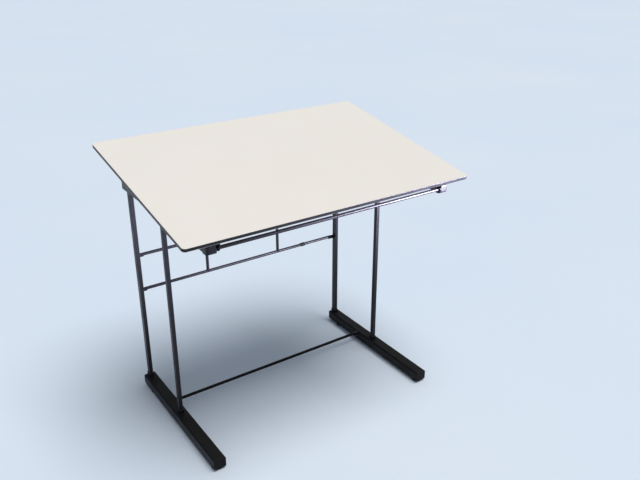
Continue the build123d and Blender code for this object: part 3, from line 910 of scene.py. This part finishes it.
# %% [markdown]
# ## The studio
# A pale floor runs far past the picture's edges. One very soft light comes from overhead, and
# a small panel stands at the right front at the height of the bar, where the satin steel can
# mirror it: the front faces shine towards the right and the upper end, and those turned to the
# left fall into shade. A grid narrows its beam, so the feet stay dark. In a real studio, flags
# would keep such a panel off the floor, the top and its bearers, the arms and the props, and
# light linking does the same here. The surrounding light is a pale blue that is stronger on
# the right. Colours are shown as they are, with no film-like curve over them.

# %% Floor
def make_floor_finish():
    material, tree, shader, place = start_material(
        "studio_floor", srgb(214, 226, 240), 0.7, specular=0.2
    )
    tone = place_group(tree, broad_patches, place, {"Scale": 0.5})
    painted = mix_colours(tree, tone, srgb(212, 225, 240), srgb(217, 228, 240))
    tree.links.new(painted, shader.inputs["Base Color"])
    return material


bpy.context.scene.view_settings.view_transform = "Standard"
floor_bm = bmesh.new()
half_floor = 40
bmesh.ops.create_grid(floor_bm, x_segments=1, y_segments=1, size=half_floor)
floor_mesh = bpy.data.meshes.new("floor")
floor_bm.to_mesh(floor_mesh)
floor_bm.free()
floor = bpy.data.objects.new("floor", floor_mesh)
bpy.context.scene.collection.objects.link(floor)
dress(floor, make_floor_finish())
print("the floor is", 2 * half_floor, "m across")

# %% Lights
def aim(thing, place, target):
    thing.location = place
    thing.rotation_mode = "QUATERNION"
    thing.rotation_quaternion = (Vector(target) - Vector(place)).to_track_quat("-Z", "Y")


def softbox(name, place, target, width, height, power, spread, colour):
    """A rectangular panel in metres and watts, whose grid narrows its beam to a spread."""
    data = bpy.data.lights.new(name, "AREA")
    data.shape = "RECTANGLE"
    data.size = width
    data.size_y = height
    data.energy = power
    data.spread = radians(spread)
    data.color = colour
    lamp = bpy.data.objects.new(name, data)
    bpy.context.scene.collection.objects.link(lamp)
    aim(lamp, place, target)
    return lamp


def soft_sun(name, direction, strength, spread, colour):
    """Even light from far away, so that the floor is as bright at the back as at the front."""
    data = bpy.data.lights.new(name, "SUN")
    data.energy = strength
    data.angle = radians(spread)
    data.color = colour
    lamp = bpy.data.objects.new(name, data)
    bpy.context.scene.collection.objects.link(lamp)
    aim(lamp, direction, (0, 0, 0))
    return lamp


overhead = soft_sun(
    "overhead", (0.25, -0.5, 2.0), strength=2.36, spread=38, colour=(1.0, 0.975, 0.94)
)
side_light = softbox(
    "right_front", (1.05, -1.05, 0.74), (0.50, -0.3, 0.80), width=0.6, height=0.4,
    power=25, spread=46, colour=(0.82, 0.79, 1.0),
)
side_light.visible_camera = False
flagged = bpy.data.collections.new("flagged_off")
shaded_parts = ["top_face_laminate", "top_back_laminate"]
shaded_parts += sides("side_arm", "top_bearer", "tilt_prop")
for shaded in [floor] + [soft[part] for part in shaded_parts]:
    flagged.objects.link(shaded)
side_light.light_linking.receiver_collection = flagged
for entry in flagged.collection_objects:
    entry.light_linking.link_state = "EXCLUDE"
print("lit by", overhead.name, "and", side_light.name)

# %% The light that surrounds the table
left_sky, right_sky = (0.38, 0.43, 0.52, 1.0), (0.92, 0.96, 1.0, 1.0)
sky_strength = 0.46
world = bpy.data.worlds.new("surroundings")
bpy.context.scene.world = world
world.use_nodes = True
sky = world.node_tree
direction = sky.nodes.new("ShaderNodeTexCoord")
split = sky.nodes.new("ShaderNodeSeparateXYZ")
rightness = add_node(sky, "ShaderNodeMapRange", values={"From Min": -0.8, "From Max": 0.9})
tint = mix_colours(sky, rightness.outputs["Result"], left_sky, right_sky)
sky.links.new(direction.outputs["Generated"], split.inputs["Vector"])
sky.links.new(split.outputs["X"], rightness.inputs["Value"])
sky.links.new(tint, sky.nodes["Background"].inputs["Color"])
sky.nodes["Background"].inputs["Strength"].default_value = sky_strength
print("surrounded by a pale blue with a strength of", sky_strength)

# %% [markdown]
# ## The camera
# The camera stands to the left of the table and in front of it, a little under one and a half
# metres up, and looks down at the top. Its lens is slightly wider than a standard 50 mm one.

# %% Place the camera
camera_data = bpy.data.cameras.new("camera")
camera_data.sensor_width = 36.0  # in millimetres, as is the lens
camera_data.lens = 40.57
camera_data.clip_end = 200
camera = bpy.data.objects.new("camera", camera_data)
bpy.context.scene.collection.objects.link(camera)
camera.location = (-1.0466, -1.7200, 1.4353)
heading, look_down = radians(34.43), radians(24.27)
camera.rotation_euler = (pi / 2 - look_down, 0.0, -heading)
bpy.context.scene.camera = camera
print("camera at", [round(value, 3) for value in camera.location])
